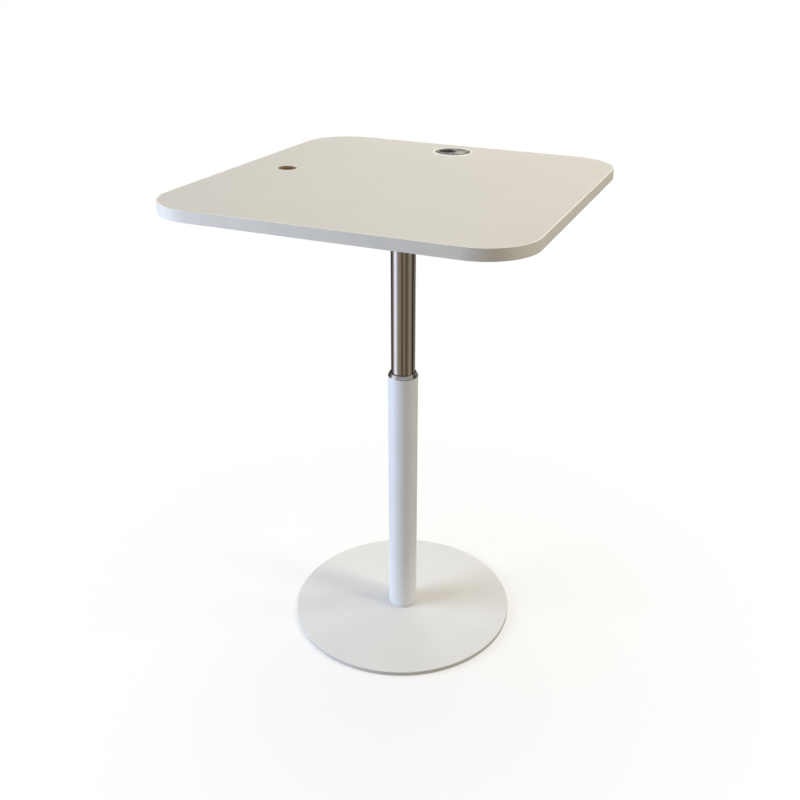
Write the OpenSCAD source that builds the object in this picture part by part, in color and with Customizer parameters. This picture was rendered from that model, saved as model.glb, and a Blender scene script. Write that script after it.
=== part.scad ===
// Height-adjustable pedestal table with a flush round power module in its top.
// Origin: floor level on the column axis. +Z up, +Y towards the edge that carries the power module.
// Everything is drawn at the rest pose: lift part-way up, lever released, socket shutter closed.

/* [Table top] */
// Width of the top, left to right
top_w = 700; // [640:10:800]
// Depth of the top, front to back
top_d = 730; // [700:10:800]
// Radius of the top's corners
corner_r = 100; // [60:5:160]
// Height of the work surface above the floor at the rest pose
top_z = 1012; // [1000:1:1040]
// Thickness of the particle board core
core_t = 19; // [16:1:25]
// Thickness of the laminate on each face
laminate_t = 1; // [0.8:0.1:1.5]
// Thickness of the edge band
band_t = 2; // [1:0.5:3]

/* [Cable hole] */
// Diameter of the bare cable hole
cable_hole_d = 38; // [25:1:60]
// Distance of the cable hole from the centre of the top, to the left
cable_hole_x = 253; // [200:1:270]

/* [Base] */
// Diameter of the base plate
base_d = 500; // [450:10:600]
// Thickness of the base plate
base_t = 10; // [8:1:12]
// Thickness of the floor glides
glide_t = 2; // [1.5:0.5:4]
// Number of floor glides
glide_count = 6; // [4:1:8]

/* [Column] */
// Outside diameter of the fixed lower tube
outer_tube_d = 63.5; // [63:0.5:65]
// Outside diameter of the lifting upper tube
inner_tube_d = 50.8; // [50:0.1:51]
// Height of the lower tube's top edge above the floor
outer_tube_top = 602; // [595:1:605]

/* [Power module] */
// Distance of the module from the top's centre line, to the left
module_left = 8; // [0:1:40]
// Distance of the module from the centre of the top, to the back
module_back = 293; // [280:1:300]
// Diameter of the white bezel ring
bezel_d = 90; // [88:1:96]
// Diameter of the hole in the top for the module
module_hole_d = 80; // [80:0.5:82]

/* [Release lever] */
// Distance of the lever's pivot from the column axis
pivot_x = 45; // [42:1:50]
// Distance of the grip's outer end from the column axis
lever_reach = 275; // [240:5:300]

/* [Hidden] */
$fn = 96;
running = 0.04;            // radial clearance of a sliding fit
slack = 0.1;               // gap between fixed neighbours

base_top = glide_t + base_t;
underside_z = top_z - core_t - 2 * laminate_t;
core_z = underside_z + laminate_t;

tube_wall = 2;
outer_r = outer_tube_d / 2;
bore_r = outer_r - tube_wall;
inner_r = inner_tube_d / 2;
inner_wall = 1.5;
inner_bore_r = inner_r - inner_wall;
foot_ring_h = 6;
outer_tube_z = base_top + foot_ring_h;

plug_top = 48;
screw_circle_r = 20;       // base screws, from the axis
stud_r = 6;
washer_t = 2;
cylinder_z = plug_top + washer_t;
cylinder_top = 525;
cylinder_r = 14;
cylinder_bore_r = 12.5;
rod_r = 5;
pin_r = 1.5;
rod_bottom = 406;

plate_t = 4;
plate_w = 200;
plate_z = underside_z - plate_t;
inner_tube_top = plate_z - 32;
inner_tube_bottom = inner_tube_top - 575;
plug_flange_top = inner_tube_top + 2;
nut_h = 8;
rod_top = plug_flange_top + nut_h + 1;
pin_top = rod_top + 5;
hub_bottom = plate_z - 49;
hub_r = 30;
pivot_z = pin_top + 3;
lever_w = 12;
lever_t = 5;
arm_z = pivot_z - 16;      // centre of the lever's straight outer arm
grip_len = 90;
grip_w = 28;
grip_t = 14;
hub_screw_z = hub_bottom + 7;

sleeve_ri = 38.2;          // inside of the bezel's sleeve
ledge_r = 36.8;            // ledge in the sleeve, clamped between face and housing
face_r = 38;
recess_r = 19.75;          // plug recess, to take a 38 mm round plug
cup_wall = 1.5;
socket_x = -12.5;          // plug recess, from the module's centre
pin_half_pitch = 9.5;      // socket holes, 19 mm apart
usb_x = 18;
usb_y = 14;
housing_r = 37.9;
housing_wall = 2;
housing_depth = 52;
boss_circle_r = 32;
board_edge_x = 10.5;       // straight edge of the charger board
shutter_turn = 28;         // degrees the shutter turns to uncover the holes
lead_r = 3.8;
lead_z = underside_z - 22;
bend_r = 35;
lead_turn_y = 160;
lead_back_y = 215;
lead_left_x = -180;
plug_x = -140;             // cable end of the parked plug

// ---- shared shapes ----

// Ring with its lower face at z = 0.
module ring(r_out, r_in, h) {
    difference() {
        cylinder(r = r_out, h = h);
        translate([0, 0, -1]) cylinder(r = r_in, h = h + 2);
    }
}

// Solid of revolution from [radius, height] points.
module turned(points) {
    rotate_extrude() polygon(points);
}

// Rectangle with rounded corners, centred on the origin.
module rounded_rect(w, d, r) {
    square([w - 2 * r, d], center = true);
    square([w, d - 2 * r], center = true);
    for (sx = [-1, 1], sy = [-1, 1])
        translate([sx * (w / 2 - r), sy * (d / 2 - r)]) circle(r = r);
}

// Flat bar with round ends between two points of a plane.
module bar(from, to, w) {
    run = to - from;
    translate(from) {
        circle(d = w);
        rotate(atan2(run.y, run.x)) translate([0, -w / 2]) square([norm(run), w]);
    }
    translate(to) circle(d = w);
}

// Puts its children at equal steps round the axis.
module around(count, r, first = 0) {
    for (i = [0:count - 1]) rotate(first + i * 360 / count) translate([r, 0, 0]) children();
}

module at_module() {
    translate([-module_left, module_back, top_z]) children();
}

module at_socket() {
    at_module() translate([socket_x, 0, 0]) children();
}

// Positions of the three housing screws, from the module's centre.
module at_bosses() {
    for (a = [0, 130, 230]) rotate(a) translate([boss_circle_r, 0, 0]) children();
}

// ---- base ----

module base_plate() {
    edge = base_d / 2;
    color("whitesmoke") difference() {
        turned([
            [0, glide_t], [edge - 0.8, glide_t], [edge, glide_t + 0.8],
            [edge, base_top - 1], [edge - 1, base_top], [0, base_top],
        ]);
        around(4, screw_circle_r, 45) {
            translate([0, 0, glide_t - 1]) cylinder(r = 4.2, h = base_t + 2);
            translate([0, 0, glide_t - 0.01]) cylinder(r1 = 8.6, r2 = 4.2, h = 4.4);
        }
        around(glide_count, base_d / 2 - 25) translate([0, 0, glide_t - 1]) cylinder(r = 3, h = 6);
    }
}

module base_screws() {
    color("dimgray") around(4, screw_circle_r, 45) translate([0, 0, glide_t + 0.2]) difference() {
        union() {
            cylinder(r1 = 8, r2 = 4, h = 4);
            cylinder(r = 4, h = 26);
        }
        translate([0, 0, -1]) cylinder(r = 2.9, h = 4.5, $fn = 6);
    }
}

module floor_glides() {
    color("gray") around(glide_count, base_d / 2 - 25) {
        turned([[0, 0], [14.2, 0], [15, 0.8], [15, glide_t], [0, glide_t]]);
        translate([0, 0, glide_t - 0.5]) cylinder(r = 2.9, h = 4.5);
    }
}

// ---- fixed part of the column ----

module foot_ring() {
    color("whitesmoke") turned([
        [bore_r, base_top], [outer_r - 0.6, base_top], [outer_r, base_top + 0.6],
        [outer_r, outer_tube_z - 0.6], [outer_r - 0.6, outer_tube_z], [bore_r, outer_tube_z],
    ]);
}

module foot_plug() {
    color("silver") difference() {
        translate([0, 0, base_top]) cylinder(r = bore_r - slack, h = plug_top - base_top);
        translate([0, 0, base_top - 1]) cylinder(r = stud_r + running, h = 60);
        translate([0, 0, base_top - 1]) cylinder(r = 13, h = 13);
        around(4, screw_circle_r, 45) translate([0, 0, base_top - 1]) cylinder(r = 4.05, h = 21);
    }
}

module outer_tube() {
    color("whitesmoke") turned([
        [bore_r, outer_tube_z], [outer_r - 0.5, outer_tube_z], [outer_r, outer_tube_z + 0.5],
        [outer_r, outer_tube_top], [bore_r, outer_tube_top],
    ]);
}

// Fixed guide bush with two grease grooves.
module upper_bush() {
    top = outer_tube_top - 6;
    color("ivory") difference() {
        translate([0, 0, top - 60]) ring(bore_r - slack, inner_r + running, 60);
        for (z = [top - 42, top - 20]) translate([0, 0, z]) ring(inner_r + 0.8, inner_r - 1, 3);
    }
}

// Polished ring with a conical shoulder, pressed into the mouth of the lower tube.
module collar_ring() {
    z = outer_tube_top;
    seat_r = inner_r + 2.2;
    color("silver") turned([
        [inner_r + 0.8, z - 6], [bore_r - slack, z - 6], [bore_r - slack, z],
        [outer_r + 0.2, z], [outer_r + 0.2, z + 1], [seat_r + 0.8, z + 7.6], [seat_r, z + 8],
        [seat_r, z + 2], [inner_r + 0.8, z + 2],
    ]);
}

module wiper_seal() {
    z = outer_tube_top + 2;
    seat_r = inner_r + 2.2 - 0.05;
    color("black") turned([
        [inner_r + 0.6, z + 0.05], [seat_r, z + 0.05], [seat_r, z + 5.6],
        [inner_r + running, z + 6.2], [inner_r + running, z + 4.2], [inner_r + 0.6, z + 3],
    ]);
}

module thrust_washer() {
    color("ivory") translate([0, 0, plug_top]) ring(20, stud_r + 0.2, washer_t);
}

// ---- locking gas spring ----

module spring_cylinder() {
    clip_z = base_top + 10.7;
    color("dimgray") turned([
        [0, clip_z - 2], [stud_r - 0.5, clip_z - 2], [stud_r, clip_z - 1.5],
        [stud_r, clip_z], [stud_r - 1, clip_z], [stud_r - 1, clip_z + 1.2],
        [stud_r, clip_z + 1.2], [stud_r, cylinder_z], [cylinder_r - 1, cylinder_z],
        [cylinder_r, cylinder_z + 1], [cylinder_r, cylinder_top - 1],
        [cylinder_r - 1, cylinder_top], [cylinder_bore_r - 1.5, cylinder_top],
        [cylinder_bore_r - 1.5, cylinder_top - 2], [cylinder_bore_r, cylinder_top - 2],
        [cylinder_bore_r, cylinder_z + 5], [0, cylinder_z + 5],
    ]);
}

// Open clip that holds the stud up in the foot plug.
module retaining_clip() {
    color("silver") translate([0, 0, base_top + 10.8]) difference() {
        ring(9.5, stud_r - 1 + running, 1);
        translate([0, -2.5, -1]) cube([12, 5, 3]);
    }
}

module spring_gland() {
    top = cylinder_top - 2.05;
    color("darkgray") turned([
        [rod_r + running, top], [cylinder_bore_r - running, top],
        [cylinder_bore_r - running, top - 16], [rod_r + running, top - 16],
        [rod_r + running, top - 13], [rod_r + 3, top - 13], [rod_r + 3, top - 8],
        [rod_r + running, top - 8],
    ]);
}

module rod_seal() {
    top = cylinder_top - 2.05;
    color("black") translate([0, 0, top - 12.8]) ring(rod_r + 2.9, rod_r + running, 4.6);
}

module spring_rod() {
    color("silver") translate([0, 0, rod_bottom]) ring(rod_r, pin_r + 0.2, rod_top - rod_bottom);
}

module spring_piston() {
    z = rod_bottom - 8;
    r = cylinder_bore_r - 0.1;
    color("darkgray") turned([
        [3.5, z], [r - 0.5, z], [r, z + 0.5], [r, z + 10], [r - 1.5, z + 10], [r - 1.5, z + 13],
        [r, z + 13], [r, z + 19.5], [r - 0.5, z + 20], [rod_r + running, z + 20],
        [rod_r + running, rod_bottom], [3.5, rod_bottom],
    ]);
}

module piston_ring() {
    z = rod_bottom + 2.1;
    color("black") translate([0, 0, z]) ring(cylinder_bore_r - running, cylinder_bore_r - 1.55, 2.8);
}

// Pin inside the hollow rod, with the valve head at its foot.
module release_pin() {
    color("goldenrod") {
        translate([0, 0, rod_bottom - 4.5]) cylinder(r = 3, h = 3);
        translate([0, 0, rod_bottom - 2]) cylinder(r = pin_r, h = pin_top - rod_bottom + 2);
    }
}

// ---- lifting part of the column ----

module inner_tube() {
    color("silver") turned([
        [inner_bore_r, inner_tube_bottom], [inner_r, inner_tube_bottom],
        [inner_r, inner_tube_top], [inner_bore_r, inner_tube_top],
    ]);
}

// Bush on the foot of the lifting tube: guides it and stops it against the upper bush.
module lower_bush() {
    z = inner_tube_bottom;
    color("ivory") turned([
        [inner_bore_r - 1.5, z - 4], [bore_r - running - 0.5, z - 4], [bore_r - running, z - 3.5],
        [bore_r - running, z + 39.5], [bore_r - running - 0.5, z + 40], [inner_r + 0.02, z + 40],
        [inner_r + 0.02, z], [inner_bore_r - 1.5, z],
    ]);
}

module top_plug() {
    z = inner_tube_top;
    color("darkgray") turned([
        [rod_r + running, z - 30], [inner_bore_r - 0.6, z - 30], [inner_bore_r - 0.02, z - 29.4],
        [inner_bore_r - 0.02, z], [inner_r - 0.1, z], [inner_r - 0.1, plug_flange_top],
        [rod_r + running, plug_flange_top],
    ]);
}

module rod_nuts() {
    color("silver") for (z = [inner_tube_top - 30 - nut_h, plug_flange_top])
        translate([0, 0, z]) difference() {
            cylinder(r = 9.8, h = nut_h, $fn = 6);
            translate([0, 0, -1]) cylinder(r = rod_r + running, h = nut_h + 2);
        }
}

// One web between the hub and the mounting plate.
module bracket_web() {
    rotate([90, 0, 0]) translate([0, 0, -2]) linear_extrude(4) polygon([
        [hub_r - 2, plate_z + 1], [92, plate_z + 1], [92, plate_z - 3],
        [hub_r + 3, hub_bottom + 10], [hub_r - 2, hub_bottom + 10],
    ]);
}

// Ear that carries one end of the lever's pivot.
module lever_ear(side) {
    translate([0, side * 11 - 1.5, 0]) rotate([90, 0, 0]) mirror([0, 0, 1]) linear_extrude(3)
        union() {
            translate([pivot_x, pivot_z]) circle(r = 8);
            translate([pivot_x - 8, pivot_z]) square([16, plate_z + 1 - pivot_z]);
        }
}

module top_bracket() {
    color("dimgray") difference() {
        union() {
            translate([0, 0, plate_z]) linear_extrude(plate_t) rounded_rect(plate_w, plate_w, 12);
            translate([0, 0, hub_bottom]) cylinder(r = hub_r, h = plate_z - hub_bottom + 1);
            for (a = [45:90:315]) rotate(a) bracket_web();
            for (side = [-1, 1]) lever_ear(side);
        }
        translate([0, 0, hub_bottom - 1]) cylinder(r = inner_r + 0.05, h = plate_z - hub_bottom + 1);
        // window in the hub for the lever's nose
        translate([15, -8, plug_flange_top]) cube([17, 16, plate_z - plug_flange_top]);
        translate([pivot_x, 0, pivot_z]) rotate([90, 0, 0])
            cylinder(r = 3 + running, h = 40, center = true);
        at_plate_screws() translate([0, 0, plate_z - 1]) cylinder(r = 3, h = plate_t + 2);
        for (a = [90:120:330]) rotate(a) translate([0, 0, hub_screw_z]) rotate([0, 90, 0])
            translate([0, 0, inner_r - 2]) cylinder(r = 4.05, h = 10);
    }
}

module hub_screws() {
    color("black") for (a = [90:120:330]) rotate(a) translate([inner_r + 0.1, 0, hub_screw_z])
        rotate([0, 90, 0]) difference() {
            cylinder(r = 4, h = 8);
            translate([0, 0, 4]) cylinder(r = 2.3, h = 5, $fn = 6);
        }
}

// Positions of the wood screws that hold the bracket to the top.
module at_plate_screws() {
    d = plate_w / 2 - 16;
    for (p = [[-d, -d], [d, -d], [0, -d], [0, d], [-d, d], [d, d]]) translate(p) children();
}

module plate_screws() {
    color("silver") at_plate_screws() difference() {
        union() {
            translate([0, 0, plate_z - 3])
                turned([[0, 0], [3.2, 0], [5.4, 2], [5.4, 3], [0, 3]]);
            translate([0, 0, plate_z - 0.5]) cylinder(r = 2.4, h = plate_t + laminate_t + 12);
        }
        for (a = [0, 90]) rotate(a) translate([-2.2, -0.5, plate_z - 4]) cube([4.4, 1, 2.6]);
    }
}

module lever_pin() {
    color("silver") translate([pivot_x, 0, pivot_z]) rotate([90, 0, 0]) {
        cylinder(r = 3, h = 30, center = true);
        for (side = [-1, 1]) translate([0, 0, side * 14.2]) cylinder(r = 4.6, h = 2.2, center = true);
    }
}

// ---- release lever ----

module release_lever() {
    knee = [pivot_x + 65, arm_z];
    tip = [lever_reach - 13, arm_z];
    nose_z = pin_top + 0.2;
    color("dimgray") translate([0, lever_w / 2, 0]) rotate([90, 0, 0]) linear_extrude(lever_w)
        difference() {
            union() {
                bar([0, nose_z + lever_t], [pivot_x, pivot_z], lever_t);
                translate([0, nose_z + lever_t]) circle(r = lever_t);
                translate([pivot_x, pivot_z]) circle(r = 7);
                bar([pivot_x, pivot_z], knee, lever_t);
                bar(knee, tip, lever_t);
            }
            translate([pivot_x, pivot_z]) circle(r = 3 + running);
        }
}

module lever_grip() {
    slot = lever_t + 2 * slack;
    color("black") translate([lever_reach - grip_len / 2, 0, 0]) difference() {
        translate([0, 0, arm_z - grip_t / 2]) linear_extrude(grip_t) rounded_rect(grip_len, grip_w, 13);
        translate([-grip_len / 2 - 1, -lever_w / 2 - slack, arm_z - slot / 2])
            cube([grip_len - 12 + 4, lever_w + 2 * slack, slot]);
    }
}

// ---- table top ----

// Plan of the top, pulled in from its edge.
module top_plan(inset) {
    rounded_rect(top_w - 2 * inset, top_d - 2 * inset, corner_r - inset);
}

module cable_hole() {
    translate([-cable_hole_x, 0]) circle(d = cable_hole_d);
}

module top_core() {
    color("tan") difference() {
        translate([0, 0, core_z]) linear_extrude(core_t) difference() {
            top_plan(band_t);
            cable_hole();
            translate([-module_left, module_back]) circle(d = module_hole_d);
        }
        at_plate_screws() translate([0, 0, core_z - 1]) cylinder(r = 2.45, h = 14);
    }
}

// The top laminate is cut back round the module, so the bezel sits in a shallow rebate.
module top_laminate() {
    color("gainsboro") translate([0, 0, top_z - laminate_t]) linear_extrude(laminate_t) difference() {
        top_plan(band_t);
        cable_hole();
        translate([-module_left, module_back]) circle(r = bezel_d / 2 + 0.25);
    }
}

module bottom_laminate() {
    color("white") difference() {
        translate([0, 0, underside_z]) linear_extrude(laminate_t) difference() {
            top_plan(band_t);
            cable_hole();
            translate([-module_left, module_back]) circle(d = module_hole_d);
        }
        at_plate_screws() translate([0, 0, underside_z - 1]) cylinder(r = 2.45, h = 4);
    }
}

module edge_band() {
    color("lightgray") translate([0, 0, underside_z]) linear_extrude(top_z - underside_z) difference() {
        top_plan(0);
        top_plan(band_t);
    }
}

// ---- power module ----

module module_bezel() {
    r = bezel_d / 2;
    z = -laminate_t;
    color("white") at_module() turned([
        [sleeve_ri, z - 35], [39.7, z - 35], [39.7, z], [r, z], [r, z + 1.1], [r - 0.9, z + 2],
        [sleeve_ri + 0.5, z + 2], [sleeve_ri, z + 1.5], [sleeve_ri, -2.1], [ledge_r, -2.1],
        [ledge_r, -5], [sleeve_ri, -5],
    ]);
}

// Ring nut under the top, with finger scallops.
module clamp_nut() {
    h = 12;
    color("white") at_module() translate([0, 0, underside_z - top_z - h]) difference() {
        ring(48, 39.8, h);
        around(16, 50.2) translate([0, 0, -1]) cylinder(r = 4, h = h - 1);
    }
}

// Long slot outline with round ends.
module pill(w, d) {
    square([w - d, d], center = true);
    for (side = [-1, 1]) translate([side * (w - d) / 2, 0]) circle(d = d);
}

module socket_face() {
    cup_depth = 17.5;
    color("dimgray") at_module() difference() {
        union() {
            translate([0, 0, -2]) cylinder(r = face_r, h = 2.2);
            translate([socket_x, 0, 0]) turned([
                [recess_r - 1, 0], [recess_r + 2.6, 0], [recess_r + 2, 0.7], [recess_r - 1, 0.7],
            ]);
            translate([socket_x, 0, -cup_depth]) cylinder(r = recess_r + cup_wall, h = cup_depth);
            at_bosses() translate([0, 0, -15]) cylinder(r = 3, h = 14);
        }
        translate([socket_x, 0, 2 - cup_depth]) cylinder(r = recess_r, h = cup_depth + 2);
        for (side = [-1, 1]) translate([socket_x, 0, -cup_depth - 1]) {
            translate([side * pin_half_pitch, 0, 0]) cylinder(r = 2.8, h = 5);
            // slots for the earth springs
            translate([-3.4, side * (recess_r + 0.5) - 1.7, 0]) cube([6.8, 3.4, cup_depth]);
        }
        translate([usb_x, usb_y, -3]) linear_extrude(5) square([14.6, 7.2], center = true);
        translate([usb_x, -usb_y, -3]) linear_extrude(5) pill(9.4, 3.6);
        at_bosses() translate([0, 0, -16]) cylinder(r = 1.45, h = 10);
    }
}

// Lighter plate over the two charging ports.
module usb_panel() {
    color("gray") at_module() translate([usb_x + 1.2, 0, 0.25]) linear_extrude(0.8) difference() {
        rounded_rect(18, 2 * usb_y + 14, 4);
        translate([-1.2, usb_y]) square([14.4, 7], center = true);
        translate([-1.2, -usb_y]) pill(9.2, 3.4);
    }
}

// Disc under the recess floor. Its two holes line up with the socket's when it turns.
module shutter() {
    color("ivory") at_socket() translate([0, 0, -19.6]) difference() {
        cylinder(r = 15, h = 1.9);
        translate([0, 0, -1]) cylinder(r = 3 + running, h = 4);
        for (side = [-1, 1]) rotate(-shutter_turn) translate([side * pin_half_pitch, 0, -1])
            cylinder(r = 3, h = 4);
    }
}

module shutter_spring() {
    color("silver") at_socket() translate([0, 0, -20.4]) rotate_extrude(angle = 300)
        translate([5, 0]) circle(r = 0.35, $fn = 24);
}

// Insulating block on four legs, with the two pin contacts and the shutter's pivot.
module contact_block() {
    color("black") at_socket() difference() {
        union() {
            translate([0, 0, -34]) intersection() {
                cylinder(r = 20, h = 13);
                translate([-20, -18, 0]) cube([40, 36, 13]);
            }
            translate([0, 0, -22]) cylinder(r = 3, h = 4.4);
            for (sx = [-1, 1], sy = [-1, 1])
                translate([sx * 13, sy * 12, 2.6 - housing_depth]) cylinder(r = 2.5, h = 16);
        }
        for (side = [-1, 1]) translate([side * pin_half_pitch, 0, -32]) cylinder(r = 3.8, h = 12);
        for (side = [-1, 1]) translate([side * pin_half_pitch, 0, -35]) cylinder(r = 1.1, h = 4);
    }
}

module pin_contacts() {
    color("gold") at_socket() for (side = [-1, 1]) translate([side * pin_half_pitch, 0, 0]) {
        translate([0, 0, -31.9]) difference() {
            cylinder(r = 3.7, h = 10.8);
            translate([0, 0, 1.5]) cylinder(r = 2.5, h = 12);
            translate([-5, -0.4, 3]) cube([10, 0.8, 12]);
        }
        translate([0, 0, -38.4]) cylinder(r = 1, h = 7);
    }
}

// Earth strap: two springs that stand in the recess, joined under the contact block.
module earth_strap() {
    color("gold") at_socket() {
        translate([-3, -20.3, -35.4]) cube([6, 40.6, 0.8]);
        for (side = [-1, 1]) {
            translate([-3, side * 19.9 - 0.4, -35.4]) cube([6, 0.8, 32]);
            translate([0, side * 19.4, -8]) rotate([0, 90, 0]) cylinder(r = 1.4, h = 6, center = true);
        }
    }
}

module at_usb(side) {
    at_module() translate([usb_x, side * usb_y, -15]) children();
}

module usb_a_shell() {
    color("silver") at_usb(1) linear_extrude(15.1) difference() {
        square([14.4, 7], center = true);
        square([12.6, 5.2], center = true);
    }
}

module usb_a_tongue() {
    color("white") at_usb(1) {
        linear_extrude(2.5) square([12.5, 5.1], center = true);
        translate([0, 1.2, 2]) linear_extrude(9.5) square([11.2, 1.9], center = true);
    }
}

module usb_c_shell() {
    color("silver") at_usb(-1) linear_extrude(15.1) difference() {
        pill(9.2, 3.4);
        pill(8.6, 2.8);
    }
}

module usb_c_tongue() {
    color("black") at_usb(-1) {
        linear_extrude(2.5) pill(8.5, 2.7);
        translate([0, 0, 2]) linear_extrude(9) square([6.6, 0.8], center = true);
    }
}

// Charger board beside the socket cup, with one straight edge.
module charger_board() {
    color("darkgreen") at_module() translate([0, 0, -16.65]) difference() {
        intersection() {
            cylinder(r = 35.5, h = 1.6);
            translate([board_edge_x, -40, -1]) cube([40, 80, 4]);
        }
        translate([boss_circle_r, 0, -1]) cylinder(r = 1.7, h = 4);
    }
}

// Transformer, two capacitors, coil, chip and a small capacitor under the board.
module board_components() {
    color("black") at_module() translate([0, 0, -16.7]) {
        translate([15.5, -8, -12]) cube([10, 14, 12]);
        translate([17, 26, -11]) cylinder(r = 3.6, h = 11);
        translate([25, 19, -11]) cylinder(r = 3.6, h = 11);
        translate([13, -26.5, -7]) cube([9, 9, 7]);
        translate([25, -16, -1.6]) cube([6, 6, 1.6]);
        translate([28, 10, -5]) cylinder(r = 3, h = 5);
    }
}

// Lead from the board down past the contact block, ending beside a contact's tail.
module board_lead(side, reach) {
    bend = 3;
    translate([12, side * 1.85, -34.4]) {
        cylinder(r = 0.8, h = 17.6);
        translate([-bend, 0, 0]) rotate([90, 0, 0]) rotate([0, 0, -90])
            rotate_extrude(angle = 90) translate([bend, 0]) circle(r = 0.8, $fn = 24);
        translate([-bend - reach, 0, -bend]) rotate([0, 90, 0]) cylinder(r = 0.8, h = reach);
    }
}

module board_leads() {
    color("brown") at_module() {
        board_lead(-1, 13);
        board_lead(1, 32);
    }
}

// Lower housing with three screw posts and an opening for the supply lead.
module module_housing() {
    exit = lead_z - top_z;
    color("dimgray") at_module() difference() {
        union() {
            difference() {
                translate([0, 0, -housing_depth]) cylinder(r = housing_r, h = housing_depth - 5.1);
                translate([0, 0, 2.5 - housing_depth])
                    cylinder(r = housing_r - housing_wall, h = housing_depth);
            }
            at_bosses() translate([0, 0, 1 - housing_depth])
                cylinder(r = 3.8, h = housing_depth - 17.75);
        }
        at_bosses() {
            translate([0, 0, -housing_depth - 1]) cylinder(r = 1.6, h = housing_depth);
            translate([0, 0, -housing_depth - 1]) cylinder(r = 3.1, h = 4);
        }
        translate([0, -20, exit]) rotate([90, 0, 0]) cylinder(r = 5.1, h = 30);
    }
}

module module_screws() {
    color("silver") at_module() at_bosses() difference() {
        union() {
            translate([0, 0, 0.4 - housing_depth]) cylinder(r = 2.9, h = 2.5);
            translate([0, 0, 2 - housing_depth]) cylinder(r = 1.4, h = housing_depth - 10);
        }
        for (a = [0, 90]) rotate(a) translate([-1.6, -0.35, -housing_depth]) cube([3.2, 0.7, 1.6]);
    }
}

// ---- supply lead ----

// Ring of rubber where the lead leaves the housing, with three flexing grooves.
module strain_relief() {
    color("black") translate([-module_left, module_back, lead_z]) rotate([90, 0, 0]) difference() {
        union() {
            translate([0, 0, 33]) cylinder(r = 5, h = 6);
            translate([0, 0, 38]) cylinder(r = 6.2, h = 2);
            translate([0, 0, 39]) cylinder(r1 = 5.8, r2 = 5, h = 5);
        }
        translate([0, 0, 30]) cylinder(r = lead_r + 0.05, h = 20);
    }
}

// Quarter ring of lead, anticlockwise from the angle "start".
module lead_bend(x, y, start) {
    translate([x, y, lead_z]) rotate(start) rotate_extrude(angle = 90)
        translate([bend_r, 0]) circle(r = lead_r);
}

// Straight length of lead along "heading".
module lead_run(x, y, heading, length) {
    translate([x, y, lead_z]) rotate(heading) rotate([0, 90, 0]) cylinder(r = lead_r, h = length);
}

// The lead leaves the module, makes a loop under the top and ends at the plug.
module mains_lead() {
    x0 = -module_left;
    exit_y = module_back - 25;
    color("dimgray") {
        lead_run(x0, exit_y, -90, exit_y - lead_turn_y);
        lead_bend(x0 - bend_r, lead_turn_y, -90);
        lead_run(lead_left_x, lead_turn_y - bend_r, 0, x0 - bend_r - lead_left_x);
        lead_bend(lead_left_x, lead_turn_y, 180);
        lead_run(lead_left_x - bend_r, lead_turn_y, 90, lead_back_y - lead_turn_y);
        lead_bend(lead_left_x, lead_back_y, 90);
        lead_run(lead_left_x, lead_back_y + bend_r, 0, plug_x + 18 - lead_left_x);
    }
}

// Puts its children at the plug's cable end, along +X.
module at_plug() {
    translate([plug_x, lead_back_y + bend_r, lead_z]) rotate([0, 90, 0]) children();
}

module mains_plug() {
    color("dimgray") at_plug() difference() {
        turned([
            [0, 0], [5.5, 0], [6.5, 10], [12, 15], [17.6, 26], [18.3, 30], [18.3, 42], [17.6, 43],
            [0, 43],
        ]);
        translate([0, 0, -1]) cylinder(r = lead_r + 0.05, h = 20);
        for (side = [-1, 1]) {
            translate([0, side * pin_half_pitch, 36]) cylinder(r = 2.45, h = 10);
            // flats that the socket's earth springs touch
            translate([side * 18.3 - 1.6, -3.2, 27]) cube([3.2, 6.4, 20]);
        }
    }
}

module plug_pins() {
    color("silver") at_plug() for (side = [-1, 1]) translate([0, side * pin_half_pitch, 36.2])
        turned([[0, 0], [2.4, 0], [2.4, 24], [1.6, 25.8], [0, 25.8]]);
}

// Saddle that holds the lead up to the top, open towards the underside.
module lead_clip() {
    saddle_r = lead_r + 0.15;
    drop = underside_z - lead_z;
    difference() {
        union() {
            rotate([0, 90, 0]) cylinder(r = saddle_r + 1.8, h = 8, center = true);
            translate([-4, -saddle_r - 1.8, 0]) cube([8, 2 * saddle_r + 3.6, drop]);
            translate([-4, -saddle_r - 10, drop - 2]) cube([8, 2 * saddle_r + 20, 2]);
        }
        rotate([0, 90, 0]) cylinder(r = saddle_r, h = 10, center = true);
        translate([-5, -saddle_r, 0]) cube([10, 2 * saddle_r, drop + 1]);
        for (side = [-1, 1]) translate([0, side * (saddle_r + 6), 0]) cylinder(r = 1.6, h = drop + 1);
        translate([-10, -20, drop]) cube([20, 40, 10]);
    }
}

module lead_clips() {
    color("white") {
        translate([-110, lead_turn_y - bend_r, lead_z]) lead_clip();
        translate([lead_left_x - bend_r, lead_turn_y + 27, lead_z]) rotate(90) lead_clip();
        translate([lead_left_x + 18, lead_back_y + bend_r, lead_z]) lead_clip();
    }
}

base_plate();
base_screws();
floor_glides();
foot_ring();
foot_plug();
outer_tube();
upper_bush();
collar_ring();
wiper_seal();
thrust_washer();
spring_cylinder();
retaining_clip();
spring_gland();
rod_seal();
spring_rod();
spring_piston();
piston_ring();
inner_tube();
lower_bush();
top_plug();
rod_nuts();
top_bracket();
hub_screws();
plate_screws();
lever_pin();
release_pin();
release_lever();
lever_grip();
top_core();
top_laminate();
bottom_laminate();
edge_band();
module_bezel();
clamp_nut();
socket_face();
usb_panel();
shutter();
shutter_spring();
contact_block();
pin_contacts();
earth_strap();
usb_a_shell();
usb_a_tongue();
usb_c_shell();
usb_c_tongue();
charger_board();
board_components();
board_leads();
module_housing();
module_screws();
strain_relief();
mains_lead();
mains_plug();
plug_pins();
lead_clips();
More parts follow.
